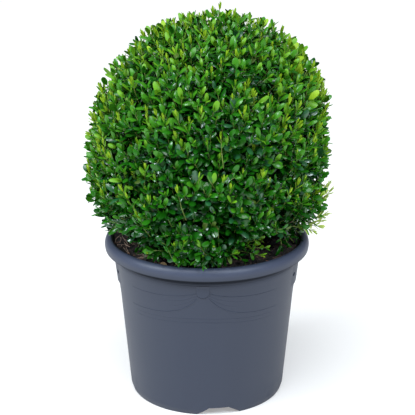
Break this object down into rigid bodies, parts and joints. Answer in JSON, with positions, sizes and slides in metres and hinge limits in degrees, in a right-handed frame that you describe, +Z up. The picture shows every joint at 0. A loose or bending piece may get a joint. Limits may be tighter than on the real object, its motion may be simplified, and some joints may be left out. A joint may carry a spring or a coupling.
{
  "type": "clipped box topiary ball in a round container pot",
  "caption": "Box shrub clipped to a dense ball, with trunk, six boughs and six masses of foliage, in a round plastic container pot.",
  "frame": {"origin": "on the ground, on the axis of the pot", "axes": "+Z up along the pot's axis, -Y towards the pot's own front, +X to the right of it"},
  "size_m": [0.402, 0.383, 0.6423],
  "materials": {
    "pot_plastic": "satin moulded polypropylene",
    "potting_soil": "moist crumbly compost",
    "bark": "fine fissured bark",
    "leaves": "glossy leather-like leaf"
  },
  "bodies": {
    "root": {"pot": "pot_plastic", "potting_soil": "potting_soil", "trunk": "bark", "bough_top": "bark", "foliage_top": "leaves", "bough_front": "bark", "foliage_front": "leaves", "bough_right": "bark", "foliage_right": "leaves", "bough_back_right": "bark", "foliage_back_right": "leaves", "bough_back_left": "bark", "foliage_back_left": "leaves", "bough_left": "bark", "foliage_left": "leaves"}
  },
  "joints": []
}
